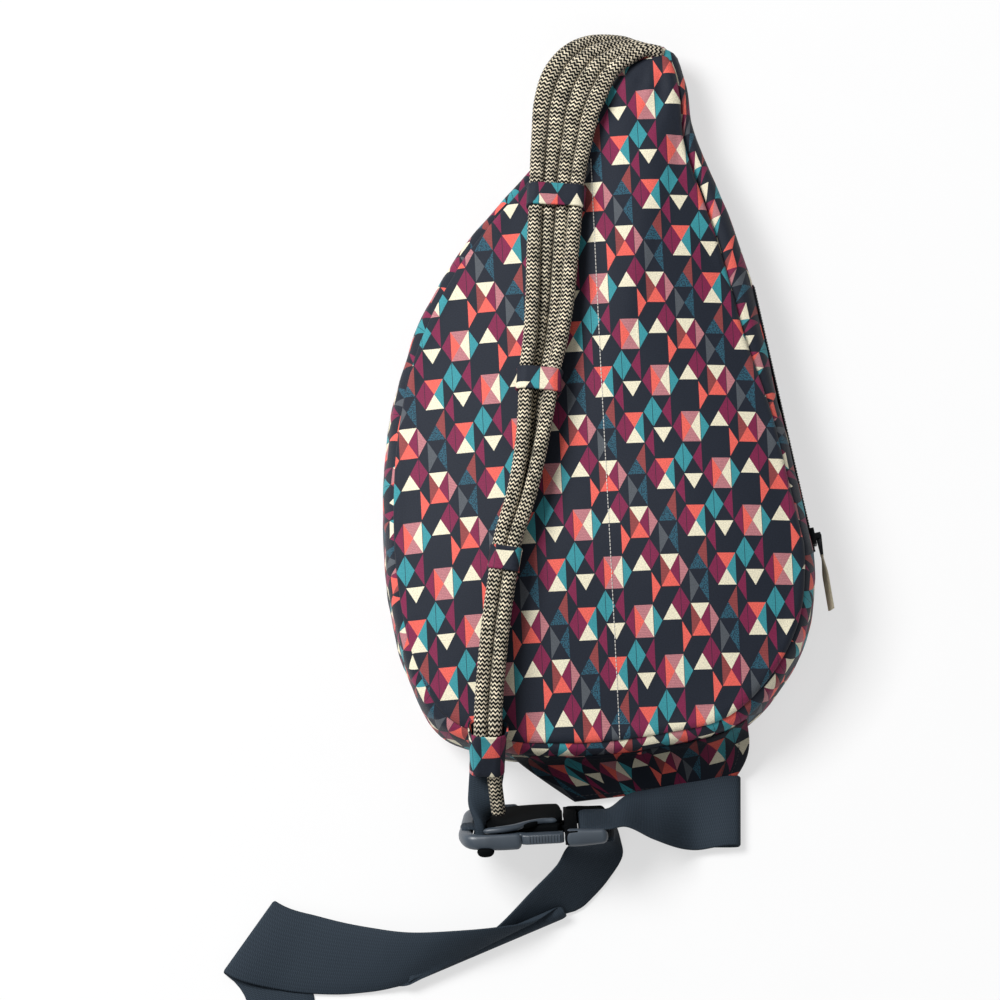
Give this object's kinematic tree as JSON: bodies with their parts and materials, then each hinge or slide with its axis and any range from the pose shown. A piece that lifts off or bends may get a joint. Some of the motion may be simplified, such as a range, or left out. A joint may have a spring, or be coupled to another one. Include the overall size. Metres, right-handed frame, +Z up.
{
  "type": "rope sling bag",
  "caption": "Teardrop sling bag with a padded printed back, a shoulder strap of braided ropes, side zip, side-release buckle and loose webbing tail.",
  "frame": {"origin": "bottom centre of the bag's own box, without the ropes, webbing and buckle", "axes": "+X to the right of the back panel, +Y towards the top of the bag, +Z up, off the back panel"},
  "size_m": [0.4267, 0.7335, 0.1153],
  "materials": {
    "printed_fabric": "woven polyester printed with small triangles on a near-black ground",
    "zip_tape": "dark woven zip tape",
    "zip_coil": "moulded dark zip teeth",
    "zip_metal": "dark lacquered metal",
    "pale_ribbon": "cream grosgrain ribbon",
    "braided_rope": "black and cream braided cord",
    "black_webbing": "ribbed black webbing",
    "buckle_plastic": "satin black moulded plastic"
  },
  "bodies": {
    "root": {"back_panel": "printed_fabric", "side_gusset": "printed_fabric", "front_panel": "printed_fabric", "bottom_wing": "printed_fabric", "zip_tape_upper": "zip_tape", "zip_tape_lower": "zip_tape", "zip_chain": "zip_coil", "rope_strand_1": "braided_rope", "rope_strand_2": "braided_rope", "rope_strand_3": "braided_rope", "rope_strand_4": "braided_rope", "strap_keeper_1": "printed_fabric", "strap_keeper_2": "printed_fabric", "strap_keeper_3": "printed_fabric", "strap_end_sleeve": "printed_fabric", "strap_end_tab": "black_webbing", "buckle_socket": "buckle_plastic", "webbing_strap": "black_webbing"},
    "zip_slider": {"zip_slider": "zip_metal"},
    "zip_pull": {"zip_pull": "zip_metal", "zip_ribbon": "pale_ribbon"},
    "buckle_plug": {"buckle_plug": "buckle_plastic"},
    "prong_upper": {"buckle_prong_upper": "buckle_plastic"},
    "prong_lower": {"buckle_prong_lower": "buckle_plastic"}
  },
  "joints": [
    {"name": "zip_slide", "type": "slide", "parent": "root", "child": "zip_slider", "axis": [-0.2176, 0.976, 0], "range_m": [0, 0.16]},
    {"name": "zip_pull_swing", "type": "hinge", "parent": "zip_slider", "child": "zip_pull", "pos_m": [0.14742, -0.0804, 0.033], "axis": [0, 0, 1], "range_deg": [0, 160]},
    {"name": "buckle_release", "type": "slide", "parent": "root", "child": "buckle_plug", "axis": [0.9986, 0.0523, 0], "range_m": [0, 0.04], "deforming": ["webbing_strap"]},
    {"name": "prong_upper_squeeze", "type": "hinge", "parent": "buckle_plug", "child": "prong_upper", "pos_m": [-0.03245, -0.29983, 0.05431], "axis": [0.0462, -0.8817, -0.4695], "range_deg": [0, 6], "stiffness_Nm_per_rad": 0.4},
    {"name": "prong_lower_squeeze", "type": "hinge", "parent": "buckle_plug", "child": "prong_lower", "pos_m": [-0.03376, -0.27475, 0.00707], "axis": [-0.0462, 0.8817, 0.4695], "range_deg": [0, 6], "stiffness_Nm_per_rad": 0.4}
  ]
}
